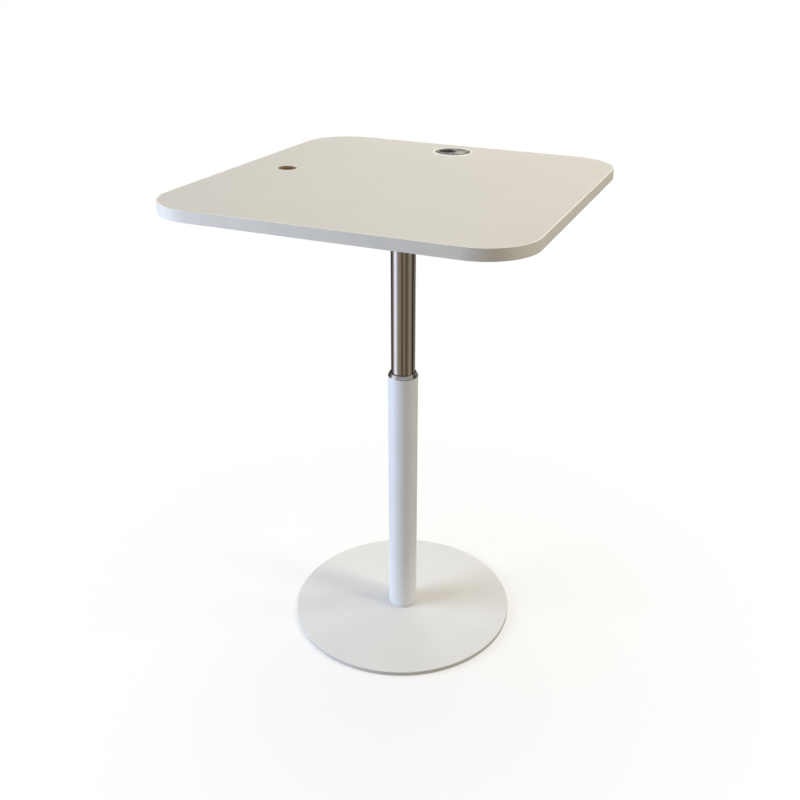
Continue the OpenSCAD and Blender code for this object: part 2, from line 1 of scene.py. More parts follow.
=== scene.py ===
"""Looks of the height-adjustable pedestal table with the flush power module.

Every CAD node stays as packed and gets a procedural material. Small details that the CAD leaves out
(thread ridges, weld beads, port contacts, solder joints, the recess's lip and the status light) are
built here as meshes in the CAD's frame, in metres.
"""

import math

import bpy
from mathutils import Matrix, Vector, noise


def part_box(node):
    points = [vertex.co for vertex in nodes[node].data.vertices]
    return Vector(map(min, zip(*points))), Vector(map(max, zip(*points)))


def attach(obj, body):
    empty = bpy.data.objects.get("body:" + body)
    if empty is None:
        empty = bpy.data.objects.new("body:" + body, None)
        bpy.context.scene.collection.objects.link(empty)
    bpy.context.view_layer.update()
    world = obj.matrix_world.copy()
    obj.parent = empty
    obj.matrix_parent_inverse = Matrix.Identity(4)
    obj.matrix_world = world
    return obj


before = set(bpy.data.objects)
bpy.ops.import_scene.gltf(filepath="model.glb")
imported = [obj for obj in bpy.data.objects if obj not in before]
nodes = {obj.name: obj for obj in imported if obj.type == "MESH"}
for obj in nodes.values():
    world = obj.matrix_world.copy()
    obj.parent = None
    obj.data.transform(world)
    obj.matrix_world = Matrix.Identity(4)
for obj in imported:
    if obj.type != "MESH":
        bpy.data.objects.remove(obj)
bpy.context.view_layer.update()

MM = 0.001

# Places in the CAD's frame, in metres.
TOP_Z = 1.012                              # work surface
MODULE = Vector((-0.008, 0.293, TOP_Z))    # centre of the power module
PORTS_X, PORTS_Y = 0.018, 0.014            # the ports from its centre: USB-A at +Y, USB-C at -Y
SOCKET_X = MODULE.x - 0.0125               # centre of the plug recess


# ---------------------------------------------------------------- materials


class Graph:
    """The node tree of a material or world, with short ways to add nodes. A material's textures use
    the CAD's frame in metres."""

    def __init__(self, owner, place="Object"):
        owner.use_nodes = True
        self.owner = owner
        self.tree = owner.node_tree
        self.tree.nodes.clear()
        self.place = self.node("ShaderNodeTexCoord").outputs[place]

    @classmethod
    def of_material(cls, name):
        return cls(bpy.data.materials.new(name))

    def node(self, kind, inputs=None, **settings):
        made = self.tree.nodes.new(kind)
        for key, value in settings.items():
            setattr(made, key, value)
        for key, value in (inputs or {}).items():
            self.feed(made.inputs[key], value)
        return made

    def feed(self, socket, value):
        if isinstance(value, bpy.types.NodeSocket):
            self.tree.links.new(value, socket)
        elif isinstance(value, (tuple, list)) and len(value) == 3 and socket.type == "RGBA":
            socket.default_value = (*value, 1.0)
        else:
            socket.default_value = value

    def scaled(self, stretch, place=None):
        values = {"Vector": place or self.place, "Scale": stretch}
        return self.node("ShaderNodeMapping", values).outputs["Vector"]

    def noise(self, scale, detail=3.0, roughness=0.5, stretch=None, distortion=0.0):
        place = self.scaled(stretch) if stretch else self.place
        values = {
            "Vector": place,
            "Scale": scale,
            "Detail": detail,
            "Roughness": roughness,
            "Distortion": distortion,
        }
        return self.node("ShaderNodeTexNoise", values).outputs["Fac"]

    def cells(self, scale, stretch=None, output="Color", feature="F1", place=None):
        place = self.scaled(stretch, place) if stretch else place or self.place
        made = self.node("ShaderNodeTexVoronoi", {"Vector": place, "Scale": scale}, feature=feature)
        return made.outputs[output]

    def remap(self, value, low, high, to_low=0.0, to_high=1.0):
        values = {
            "Value": value,
            "From Min": low,
            "From Max": high,
            "To Min": to_low,
            "To Max": to_high,
        }
        return self.node("ShaderNodeMapRange", values).outputs["Result"]

    def math(self, operation, a, b=0.0):
        made = self.node("ShaderNodeMath", operation=operation)
        self.feed(made.inputs[0], a)
        self.feed(made.inputs[1], b)
        return made.outputs["Value"]

    def mix(self, share, a, b):
        made = self.node("ShaderNodeMix", data_type="RGBA")
        self.feed(made.inputs["Factor"], share)
        self.feed(made.inputs[6], a)
        self.feed(made.inputs[7], b)
        return made.outputs[2]

    def ramp(self, value, stops):
        made = self.node("ShaderNodeValToRGB", {"Fac": value})
        marks = made.color_ramp.elements
        while len(marks) < len(stops):
            marks.new(0.5)
        for mark, (position, colour) in zip(marks, stops):
            mark.position = position
            mark.color = (*colour, 1.0)
        return made.outputs["Color"]

    def vector_math(self, operation, a, b, output="Vector"):
        made = self.node("ShaderNodeVectorMath", operation=operation)
        self.feed(made.inputs[0], a)
        self.feed(made.inputs["Scale" if operation == "SCALE" else 1], b)
        return made.outputs[output]

    def axis(self, letter):
        return self.node("ShaderNodeSeparateXYZ", {"Vector": self.place}).outputs[letter]

    def rounded(self, radius):
        """The surface normal with its edges softened."""
        return self.node("ShaderNodeBevel", {"Radius": radius}, samples=4).outputs["Normal"]

    def bump(self, height, depth, normal=None, strength=1.0):
        values = {"Height": height, "Distance": depth, "Strength": strength}
        if normal is not None:
            values["Normal"] = normal
        return self.node("ShaderNodeBump", values).outputs["Normal"]

    def finish(self, colour, roughness, normal=None, metallic=0.0, **extra):
        values = {"Base Color": colour, "Roughness": roughness, "Metallic": metallic}
        values.update({key.replace("_", " "): value for key, value in extra.items()})
        if normal is not None:
            values["Normal"] = normal
        shader = self.node("ShaderNodeBsdfPrincipled", values)
        out = self.node("ShaderNodeOutputMaterial")
        self.tree.links.new(shader.outputs["BSDF"], out.inputs["Surface"])
        return self.owner


def shade(colour, factor):
    return tuple(min(1.0, c * factor) for c in colour)


def powder_coat(name, colour, edge=0.6 * MM, grain=900, depth=0.03 * MM, roughness=0.42):
    """Baked paint with a fine orange peel and faint handling marks."""
    g = Graph.of_material(name)
    cloud = g.noise(9, 4)
    peel = g.noise(grain, 3, 0.55)
    wear = g.noise(60, 5, 0.6)
    tint = g.mix(g.remap(cloud, 0.35, 0.65), shade(colour, 0.975), shade(colour, 1.02))
    tint = g.mix(g.remap(peel, 0.3, 0.7, 0.0, 0.35), tint, shade(colour, 0.95))
    rough = g.remap(wear, 0.35, 0.7, roughness - 0.04, roughness + 0.07)
    normal = g.bump(peel, depth, g.rounded(edge))
    return g.finish(tint, rough, normal, Specular_IOR_Level=0.45)


def laminate(name, colour, roughness=0.5, depth=0.012 * MM):
    """Pressed laminate: tiny pearl texture, faint cloudiness, a few hair scratches."""
    g = Graph.of_material(name)
    cloud = g.noise(5, 3)
    speck = g.noise(2600, 2, 0.6)
    pearl = g.cells(1500, output="Distance")
    scratch = g.noise(55, 2, 0.5, stretch=(1.0, 28.0, 1.0), distortion=0.6)
    tint = g.mix(g.remap(cloud, 0.35, 0.65), shade(colour, 0.985), shade(colour, 1.012))
    tint = g.mix(g.remap(speck, 0.3, 0.75, 0.0, 0.3), tint, shade(colour, 0.955))
    rough = g.math("ADD", g.remap(speck, 0.3, 0.7, roughness - 0.03, roughness + 0.04),
                   g.remap(scratch, 0.70, 0.74, 0.0, -0.05))
    height = g.math("ADD", pearl, g.remap(scratch, 0.70, 0.74, 0.0, -0.8))
    return g.finish(tint, rough, g.bump(height, depth), Specular_IOR_Level=0.4)


def plastic(name, colour, roughness=0.45, grain=1600, depth=0.02 * MM, edge=0.3 * MM, cloud_scale=30):
    """Moulded plastic with a spark-eroded grain."""
    g = Graph.of_material(name)
    cloud = g.noise(cloud_scale, 3)
    pits = g.cells(grain, output="Distance")
    fine = g.noise(grain * 0.6, 3, 0.6)
    tint = g.mix(g.remap(cloud, 0.35, 0.65), shade(colour, 0.94), shade(colour, 1.05))
    tint = g.mix(g.remap(fine, 0.35, 0.7, 0.0, 0.4), tint, shade(colour, 0.88))
    rough = g.remap(fine, 0.3, 0.7, roughness - 0.05, roughness + 0.07)
    normal = g.bump(g.math("ADD", pits, fine), depth, g.rounded(edge))
    return g.finish(tint, rough, normal, Specular_IOR_Level=0.4)


def rubber(name, colour, roughness=0.72, edge=0.2 * MM):
    g = Graph.of_material(name)
    dust = g.noise(220, 5, 0.65)
    fine = g.noise(2400, 2)
    tint = g.mix(g.remap(dust, 0.45, 0.8, 0.0, 0.5), colour, shade(colour, 1.9))
    normal = g.bump(fine, 0.015 * MM, g.rounded(edge))
    return g.finish(tint, g.remap(dust, 0.3, 0.7, roughness - 0.06, roughness + 0.08), normal,
                    Specular_IOR_Level=0.3)


def metal(name, colour, roughness=0.3, brush=(1.0, 1.0, 40.0), brush_scale=90, edge=0.25 * MM,
          mark=0.14, depth=0.006 * MM):
    """Bare metal whose fine lines run across the axis that "brush" stretches."""
    g = Graph.of_material(name)
    lines = g.noise(brush_scale, 4, 0.6, stretch=brush)
    stain = g.noise(35, 4, 0.6)
    tint = g.mix(g.remap(lines, 0.3, 0.7), shade(colour, 1 - mark), shade(colour, 1 + mark * 0.5))
    tint = g.mix(g.remap(stain, 0.45, 0.75, 0.0, 0.35), tint, shade(colour, 0.82))
    rough = g.math("ADD", g.remap(lines, 0.3, 0.7, roughness - 0.05, roughness + 0.06),
                   g.remap(stain, 0.45, 0.75, 0.0, 0.08))
    normal = g.bump(lines, depth, g.rounded(edge))
    return g.finish(tint, rough, normal, metallic=1.0)


def chrome(name, colour, roughness=0.07, edge=0.4 * MM):
    """Polished plating with a faint haze and fine lines along the tube."""
    g = Graph.of_material(name)
    haze = g.noise(24, 5, 0.6)
    draw = g.noise(420, 3, 0.6, stretch=(1.0, 1.0, 0.012))
    prints = g.noise(130, 4, 0.65)
    tint = g.mix(g.remap(haze, 0.35, 0.7, 0.0, 0.5), colour, shade(colour, 0.93))
    rough = g.math("ADD", g.remap(draw, 0.35, 0.7, roughness, roughness + 0.05),
                   g.remap(prints, 0.55, 0.8, 0.0, 0.08))
    normal = g.bump(draw, 0.0012 * MM, g.rounded(edge))
    return g.finish(tint, rough, normal, metallic=1.0)


def chipboard(name):
    """Pressed wood chips lying level in browns, with short dark gaps, and painted shade that darkens
    them towards the underside, deep in the holes.
    """
    g = Graph.of_material(name)
    warp = g.node("ShaderNodeTexNoise", {"Vector": g.place, "Scale": 420.0, "Detail": 3.0})
    pull = g.vector_math("SUBTRACT", warp.outputs["Color"], (0.5, 0.5, 0.5))
    pull = g.vector_math("SCALE", pull, 5 * MM)
    bent = g.vector_math("ADD", g.place, pull)
    flat, coarse, small = (1.0, 1.0, 3.2), 420, 1100
    picks = [
        g.node("ShaderNodeSeparateColor", {"Color": g.cells(scale, flat, place=bent)}).outputs["Red"]
        for scale in (coarse, small)]
    gap = g.cells(coarse, flat, output="Distance", feature="DISTANCE_TO_EDGE", place=bent)
    patch = g.remap(g.noise(260, 3), 0.42, 0.58)
    pick = g.math("ADD", g.math("MULTIPLY", picks[0], patch),
                  g.math("MULTIPLY", picks[1], g.math("SUBTRACT", 1.0, patch)))
    fibre = g.noise(1100, 5, 0.65, stretch=(1.0, 1.0, 6.0))
    stops = ((0.0, (0.22, 0.135, 0.06)), (0.35, (0.35, 0.225, 0.115)), (0.7, (0.46, 0.32, 0.18)),
             (1.0, (0.56, 0.42, 0.26)))
    tint = g.ramp(pick, stops)
    tint = g.mix(g.remap(fibre, 0.35, 0.7, 0.0, 0.6), tint, (0.27, 0.165, 0.075))
    gap_share = g.math("MULTIPLY", g.remap(gap, 0.0, 0.035, 0.7, 0.0), patch)
    tint = g.mix(gap_share, tint, (0.08, 0.045, 0.02))
    # Painted shade: the chips darken from 3 mm below the work surface to near black at 13 mm and below,
    # as shade deep inside the holes.
    painted_hole_shade = g.remap(g.axis("Z"), TOP_Z - 13 * MM, TOP_Z - 3 * MM, 0.9, 0.0)
    tint = g.mix(painted_hole_shade, tint, (0.035, 0.022, 0.012))
    height = g.math("ADD", g.remap(gap, 0.0, 0.08, 0.0, 0.6), fibre)
    return g.finish(tint, g.remap(fibre, 0.3, 0.7, 0.75, 0.95), g.bump(height, 0.2 * MM),
                    Specular_IOR_Level=0.2)


def edge_banding(name, colour):
    """Plastic edge band, with a painted highlight: a shade lighter where its faces turn up or down, at
    its top edge.
    """
    g = Graph.of_material(name)
    up = g.node("ShaderNodeSeparateXYZ", {"Vector": g.node("ShaderNodeNewGeometry").outputs["Normal"]})
    painted_top_edge_highlight = g.remap(g.math("ABSOLUTE", up.outputs["Z"]), 0.3, 0.8)
    ripple = g.noise(26, 3, 0.5)
    fine = g.noise(2200, 2, 0.6)
    tint = g.mix(g.remap(ripple, 0.35, 0.65), shade(colour, 0.975), shade(colour, 1.02))
    # Painted highlight: faces of the band that point up or down, its top edge above all, are coloured a
    # shade lighter, as if catching the light.
    tint = g.mix(painted_top_edge_highlight, tint, shade(colour, 1.38))
    normal = g.bump(fine, 0.006 * MM, g.rounded(1.4 * MM))
    return g.finish(tint, g.remap(fine, 0.3, 0.7, 0.34, 0.42), normal, Specular_IOR_Level=0.5)


def circuit_board(name):
    """Solder mask over copper tracks, with a fine glass-weave texture all over."""
    g = Graph.of_material(name)
    lanes = g.node("ShaderNodeTexBrick", {
        "Vector": g.place,
        "Scale": 300.0,
        "Mortar Size": 0.06,
        "Color1": (0.015, 0.15, 0.07),
        "Color2": (0.02, 0.20, 0.09),
        "Mortar": (0.03, 0.30, 0.13),
    }).outputs["Color"]
    weave = g.noise(1800, 2)
    tint = g.mix(g.remap(weave, 0.4, 0.7, 0.0, 0.4), lanes, (0.01, 0.10, 0.05))
    return g.finish(tint, g.remap(weave, 0.3, 0.7, 0.25, 0.4), g.bump(weave, 0.01 * MM))


WHITE_COAT = (0.73, 0.73, 0.73)
LAMINATE = (0.62, 0.61, 0.59)
BAND = (0.76, 0.75, 0.72)
STEEL = (0.56, 0.56, 0.57)
ZINC = (0.62, 0.63, 0.65)
ALUMINIUM = (0.72, 0.72, 0.73)
CHROME = (0.84, 0.84, 0.85)
BRASS = (0.80, 0.60, 0.27)
TINNED = (0.76, 0.70, 0.56)
ACETAL = (0.80, 0.78, 0.70)
WHITE_PLASTIC = (0.84, 0.84, 0.82)
GREY_PLASTIC = (0.15, 0.15, 0.15)
BLACK_PLASTIC = (0.035, 0.035, 0.036)
BLACK_RUBBER = (0.03, 0.03, 0.03)

# The fine rings of a turned part.
LATHE = dict(brush=(1.0, 1.0, 60.0), brush_scale=60)

LOOKS = {
    "base_plate": powder_coat("base plate coat", WHITE_COAT, edge=0.8 * MM),
    # The tube's coat is the base plate's white paint made bluer and brighter: painted cool light from
    # the window.
    "outer_tube": powder_coat("tube coat with painted cool light", (0.79, 0.82, 0.87), edge=0.5 * MM),
    "foot_ring": powder_coat("foot ring coat", (0.74, 0.74, 0.74), edge=0.5 * MM),
    "base_screws": metal("black screws", (0.10, 0.10, 0.11), 0.38),
    "floor_glides": rubber("glide elastomer", (0.20, 0.20, 0.21)),
    "foot_plug": metal("foot plug", ALUMINIUM, 0.32, **LATHE),
    "upper_bush": plastic("upper bush acetal", ACETAL, 0.4),
    "collar_ring": chrome("collar chrome", CHROME, 0.05, edge=0.3 * MM),
    "wiper_seal": rubber("wiper nitrile", BLACK_RUBBER),
    "thrust_washer": plastic("washer acetal", ACETAL, 0.38),
    "spring_cylinder": powder_coat("spring enamel", (0.03, 0.03, 0.032), roughness=0.3),
    "retaining_clip": metal("clip steel", STEEL, 0.35),
    "spring_gland": metal("gland", ALUMINIUM, 0.3, **LATHE),
    "rod_seal": rubber("rod seal nitrile", BLACK_RUBBER),
    "spring_rod": chrome("rod chrome", CHROME, 0.05),
    "spring_piston": metal("piston", ALUMINIUM, 0.3, **LATHE),
    "piston_ring": rubber("piston ring nitrile", BLACK_RUBBER),
    "inner_tube": chrome("tube chrome", (0.80, 0.79, 0.77), 0.09, edge=0.5 * MM),
    "lower_bush": plastic("lower bush acetal", ACETAL, 0.4),
    "top_plug": metal("top plug", ALUMINIUM, 0.32, **LATHE),
    "rod_nuts": metal("nuts", ZINC, 0.34),
    "top_bracket": powder_coat("bracket coat", (0.035, 0.035, 0.037), roughness=0.5, depth=0.05 * MM),
    "hub_screws": metal("set screws", (0.08, 0.08, 0.085), 0.4),
    "plate_screws": metal("wood screws", ZINC, 0.3, **LATHE),
    "lever_pin": metal("pivot pin", STEEL, 0.25, **LATHE),
    "release_pin": metal("brass pin", BRASS, 0.25, **LATHE),
    "release_lever": powder_coat("lever coat", (0.03, 0.03, 0.032), roughness=0.45),
    "lever_grip": plastic("grip nylon", BLACK_PLASTIC, 0.5, grain=900, depth=0.08 * MM, edge=1.2 * MM),
    "top_core": chipboard("chipboard"),
    "top_laminate": laminate("top laminate", LAMINATE),
    "bottom_laminate": laminate("balancing laminate", (0.78, 0.79, 0.79), 0.55),
    "edge_band": edge_banding("edge band", BAND),
    "module_bezel": plastic("bezel plastic", WHITE_PLASTIC, 0.32, depth=0.008 * MM, edge=0.5 * MM),
    "clamp_nut": plastic("nut plastic", WHITE_PLASTIC, 0.42, edge=0.5 * MM),
    "socket_face": plastic("face plastic", GREY_PLASTIC, 0.38, edge=0.35 * MM),
    "usb_panel": plastic("port panel plastic", (0.42, 0.42, 0.415), 0.35, edge=0.3 * MM),
    "shutter": plastic("shutter acetal", ACETAL, 0.4),
    "shutter_spring": metal("spring wire", STEEL, 0.25),
    "contact_block": plastic("contact block thermoset", (0.04, 0.04, 0.042), 0.5),
    "pin_contacts": metal("contact brass", BRASS, 0.25),
    "earth_strap": metal("earth spring", TINNED, 0.22),
    "usb_a_shell": metal("port shell A", (0.72, 0.72, 0.74), 0.2),
    "usb_a_tongue": plastic("port tongue A", (0.78, 0.78, 0.78), 0.4, edge=0.1 * MM),
    "usb_c_shell": metal("port shell C", (0.70, 0.70, 0.72), 0.2),
    "usb_c_tongue": plastic("port tongue C", BLACK_PLASTIC, 0.4, edge=0.1 * MM),
    "charger_board": circuit_board("circuit board"),
    "board_components": plastic("component bodies", (0.05, 0.05, 0.055), 0.3, cloud_scale=160),
    "board_leads": rubber("brown wire", (0.16, 0.07, 0.03), 0.5),
    "module_housing": plastic("housing plastic", (0.07, 0.07, 0.072), 0.5, edge=0.6 * MM),
    "module_screws": metal("housing screws", ZINC, 0.3),
    "strain_relief": rubber("relief rubber", BLACK_RUBBER),
    "mains_lead": rubber("cord sheath", (0.075, 0.075, 0.078), 0.5),
    "mains_plug": plastic("plug body", (0.09, 0.09, 0.092), 0.5, edge=0.8 * MM),
    "plug_pins": metal("plug pins", TINNED, 0.2),
    "lead_clips": plastic("clip nylon", WHITE_PLASTIC, 0.42),
}

for name, part in nodes.items():
    part.data.materials.clear()
    part.data.materials.append(LOOKS[name])


# ---------------------------------------------------------------- details built as meshes


def add_piece(name, vertices, faces, look, body, smooth=True):
    """A mesh in the CAD's frame that rides with one body."""
    mesh = bpy.data.meshes.new(name)
    mesh.from_pydata(vertices, [], faces)
    mesh.validate()
    for polygon in mesh.polygons:
        polygon.use_smooth = smooth
    mesh.materials.append(look)
    piece = bpy.data.objects.new(name, mesh)
    bpy.context.scene.collection.objects.link(piece)
    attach(piece, body)
    return piece


class Builder:
    """Collects vertices and faces of one piece."""

    def __init__(self):
        self.vertices = []
        self.faces = []

    def sweep(self, path, section, closed=False):
        """Runs a section along a path of (point, side, up) frames. section(i) gives the
        (side, up) points of the section at frame i."""
        first = len(self.vertices)
        count = 0
        for index, (point, side, up) in enumerate(path):
            ring = section(index)
            count = len(ring)
            self.vertices += [tuple(point + side * a + up * b) for a, b in ring]
        steps = len(path) if closed else len(path) - 1
        for i in range(steps):
            a = first + i * count
            b = first + (i + 1) % len(path) * count
            for j in range(count):
                k = (j + 1) % count
                self.faces.append((a + j, b + j, b + k, a + k))
        if not closed:
            self.faces.append(tuple(first + j for j in range(count)))
            last = first + (len(path) - 1) * count
            self.faces.append(tuple(last + j for j in reversed(range(count))))

    def dome(self, centre, radius, height, rings=5, sides=16):
        """A low round cap standing on a level surface."""
        first = len(self.vertices)
        for i in range(rings):
            angle = math.pi / 2 * i / rings
            r, h = radius * math.cos(angle), height * math.sin(angle)
            for j in range(sides):
                turn = 2 * math.pi * j / sides
                offset = Vector((r * math.cos(turn), r * math.sin(turn), h))
                self.vertices.append(tuple(centre + offset))
        self.vertices.append(tuple(centre + Vector((0, 0, height))))
        tip = len(self.vertices) - 1
        for i in range(rings - 1):
            for j in range(sides):
                k = (j + 1) % sides
                a, b = first + i * sides, first + (i + 1) * sides
                self.faces.append((a + j, a + k, b + k, b + j))
        top = first + (rings - 1) * sides
        for j in range(sides):
            self.faces.append((top + j, top + (j + 1) % sides, tip))
        self.faces.append(tuple(first + j for j in reversed(range(sides))))

    def block(self, low, high, chamfer):
        """A box with its upper edges chamfered."""
        x0, y0, z0 = low
        x1, y1, z1 = high
        c = chamfer
        first = len(self.vertices)
        for z, inset in ((z0, 0.0), (z1 - c, 0.0), (z1, c)):
            self.vertices += [
                (x0 + inset, y0 + inset, z),
                (x1 - inset, y0 + inset, z),
                (x1 - inset, y1 - inset, z),
                (x0 + inset, y1 - inset, z),
            ]
        for level in (0, 4):
            for j in range(4):
                k = (j + 1) % 4
                self.faces.append((first + level + j, first + level + k, first + level + 4 + k,
                                   first + level + 4 + j))
        self.faces.append((first + 3, first + 2, first + 1, first))
        self.faces.append((first + 8, first + 9, first + 10, first + 11))


def ring_frame(radius, angle, z, centre=Vector((0, 0, 0))):
    """A frame on a level circle: the point, its outward direction and straight up."""
    out = Vector((math.cos(angle), math.sin(angle), 0))
    return centre + out * radius + Vector((0, 0, z)), out, Vector((0, 0, 1))


def sleeve_thread():
    """Ridges of the bezel's thread where its sleeve shows below the clamp nut."""
    steps, pitch, radius = 96, 1.5 * MM, 39.7 * MM
    margin, root, height, half_width, half_crest = 0.6 * MM, -0.15 * MM, 0.32 * MM, 0.5 * MM, 0.1 * MM
    run_out = 12
    low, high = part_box("module_bezel")[0].z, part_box("clamp_nut")[0].z
    centre = Vector((MODULE.x, MODULE.y, 0))
    total = int((high - low - 2 * margin) / pitch * steps)
    path = [ring_frame(radius, 2 * math.pi * i / steps, low + margin + pitch * i / steps, centre)
            for i in range(total + 1)]

    def section(i):
        crest = height * min(1.0, i / run_out, (total - i) / run_out)
        return [(root, -half_width), (crest, -half_crest), (crest, half_crest), (root, half_width)]

    made = Builder()
    made.sweep(path, section)
    look = LOOKS["module_bezel"]
    add_piece("sleeve_thread", made.vertices, made.faces, look, "upper", smooth=False)


def weld_beads():
    """Rippled fillet welds: round the hub where it meets the plate, and down both sides of each web."""
    plate_z, hub_radius, half_web = 0.987, 30 * MM, 2 * MM
    web_start, web_length = 0.034, 0.056
    ring_steps, rail_steps = 220, 69
    sunk = 0.3 * MM    # how far a bead runs into the steel
    made = Builder()

    def bead(size, seed):
        def section(i):
            wave = 1 + 0.16 * math.sin(i * 1.9) + 0.12 * noise.noise(Vector((i * 0.37, seed, 0)))
            s = size * wave
            return [(-sunk, 0.2 * MM), (s, 0.2 * MM), (s * 0.72, -s * 0.42), (s * 0.42, -s * 0.72),
                    (-sunk, -s)]
        return section

    path = [ring_frame(hub_radius, 2 * math.pi * i / ring_steps, plate_z) for i in range(ring_steps)]
    made.sweep(path, bead(3.4 * MM, 1.0), closed=True)
    for k in range(4):
        turn = math.radians(45 + 90 * k)
        along = Vector((math.cos(turn), math.sin(turn), 0))
        across = Vector((-along.y, along.x, 0))
        for side in (-1, 1):
            rail = []
            for i in range(rail_steps + 1):
                point = along * (web_start + web_length * i / rail_steps) + across * (side * half_web)
                rail.append((point + Vector((0, 0, plate_z)), across * side, Vector((0, 0, 1))))
            made.sweep(rail, bead(2.6 * MM, 3.0 + k + side))
    look = LOOKS["top_bracket"]
    add_piece("weld_beads", made.vertices, made.faces, look, "upper")


def port_contacts():
    """Gold contact strips on both USB tongues."""
    gold = metal("contact gold", (0.86, 0.66, 0.28), 0.18, edge=0.05 * MM)
    made = Builder()
    foot_z = TOP_Z - 12.9 * MM
    ax, ay = MODULE.x + PORTS_X, MODULE.y + PORTS_Y
    cy = MODULE.y - PORTS_Y
    a_count, a_pitch, a_height, a_face_y = 4, 2.4 * MM, 8.6 * MM, ay + 1.2 * MM - 0.95 * MM
    c_count, c_pitch, c_height, c_face = 8, 0.8 * MM, 8.2 * MM, 0.4 * MM
    for i in range(a_count):
        x = ax + (i - (a_count - 1) / 2) * a_pitch
        made.block((x - 0.5 * MM, a_face_y - 0.12 * MM, foot_z),
                   (x + 0.5 * MM, a_face_y + 0.05 * MM, foot_z + a_height), 0.1 * MM)
    for i in range(c_count):
        x = ax + (i - (c_count - 1) / 2) * c_pitch
        for side in (-1, 1):
            y = cy + side * c_face
            made.block((x - 0.15 * MM, y - 0.06 * MM, foot_z),
                       (x + 0.15 * MM, y + 0.06 * MM, foot_z + c_height), 0.04 * MM)
    add_piece("port_contacts", made.vertices, made.faces, gold, "upper", smooth=False)


def solder_joints():
    """Solder cones on the upper side of the charger board, under the face."""
    look = metal("solder", (0.66, 0.67, 0.70), 0.22, edge=0.1 * MM)
    made = Builder()
    board_top = TOP_Z - 15.05 * MM
    joints_mm = ((15.3, 26), (18.7, 26), (23.3, 19), (26.7, 19), (17, -4), (17, 2), (24, -4), (24, 2),
                 (15, -24), (20, -20), (12, 1.85), (12, -1.85), (27, 10), (29, 10))
    for x, y in joints_mm:
        centre = Vector((MODULE.x + x * MM, MODULE.y + y * MM, board_top))
        made.dome(centre, 0.9 * MM, 0.8 * MM)
    add_piece("solder_joints", made.vertices, made.faces, look, "upper")


def recess_rim():
    """Half-round lip round the socket's recess, coloured much lighter than the face's grey plastic as a
    painted highlight on the recess's edge.
    """
    # Painted highlight: the lip is the face's plastic made far lighter (0.50 against 0.15), standing in
    # for light caught on the recess's edge.
    look = plastic("recess lip painted highlight", (0.50, 0.50, 0.495), 0.3, edge=0.2 * MM)
    centre = Vector((SOCKET_X, MODULE.y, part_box("socket_face")[1].z))
    radius, half_width, height, sunk, steps = 20.7 * MM, 0.9 * MM, 0.55 * MM, 0.05 * MM, 128
    path = [ring_frame(radius, 2 * math.pi * i / steps, 0, centre) for i in range(steps)]
    arc = [math.pi * k / 8 for k in range(9)]
    profile = [(half_width * math.cos(a), height * math.sin(a)) for a in arc]
    profile += [(-half_width, -sunk), (half_width, -sunk)]

    made = Builder()
    made.sweep(path, lambda _: profile, closed=True)
    add_piece("recess_rim", made.vertices, made.faces, look, "upper")


def status_light():
    """Small clear lens between the two ports."""
    g = Graph.of_material("status lens")
    core = g.noise(900, 2)
    tint = g.mix(g.remap(core, 0.3, 0.7), (0.55, 0.58, 0.60), (0.75, 0.78, 0.80))
    look = g.finish(tint, g.remap(core, 0.3, 0.7, 0.1, 0.2), Specular_IOR_Level=0.6)
    made = Builder()
    centre = Vector((MODULE.x + PORTS_X, MODULE.y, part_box("usb_panel")[1].z))
    made.dome(centre, 1.1 * MM, 0.35 * MM, rings=6, sides=24)
    add_piece("status_light", made.vertices, made.faces, look, "upper")


sleeve_thread()
weld_beads()
port_contacts()
solder_joints()
recess_rim()
status_light()


# ---------------------------------------------------------------- floor, light and camera

# The camera, in metres and degrees.
CAMERA_AZIMUTH = 23.142    # from straight in front towards the right
CAMERA_RANGE = 1.802       # level distance from the column
CAMERA_HEIGHT = 1.4245
CAMERA_PITCH = 26.36       # below level
CAMERA_YAW = 1.98          # to the right of the column
CAMERA_ROLL = 0.97
LENS_MM = 42.16
SHIFT = (-0.0401, 0.0061)


# What mirrors see around the table, with later bands over earlier ones: bearing and half width in
# degrees (0 is the front, 90 the right side), share, colour.
ROOM_TONE = (0.150, 0.115, 0.078)
CEILING_TONE = (0.36, 0.36, 0.37)
ROOM_BANDS = (
    (-15, 30, 0.9, (0.27, 0.235, 0.19)),      # left wall
    (-55, 34, 1.0, (1.00, 1.05, 1.20)),       # window
    (13, 11, 0.8, (0.05, 0.036, 0.022)),      # door gap
    (32, 12, 0.7, (0.30, 0.24, 0.17)),        # lit wall
    (53, 13, 0.7, (0.065, 0.045, 0.028)),     # cupboard
    (88, 24, 0.9, (0.31, 0.265, 0.22)),       # right wall
    (122, 16, 1.0, (0.012, 0.010, 0.007)),    # right corner
    (150, 18, 0.6, (0.16, 0.15, 0.14)),       # back corner
    (-112, 22, 1.0, (0.035, 0.034, 0.033)),   # left corner
    (-165, 38, 0.9, (0.52, 0.51, 0.49)),      # back wall
)

WORLD_FILL = (0.30, 0.26, 0.215)
FILL_FROM_BELOW = (0.6, 0.6, 0.6)
FLOOR_BOUNCE = (0.38, 0.35, 0.32)


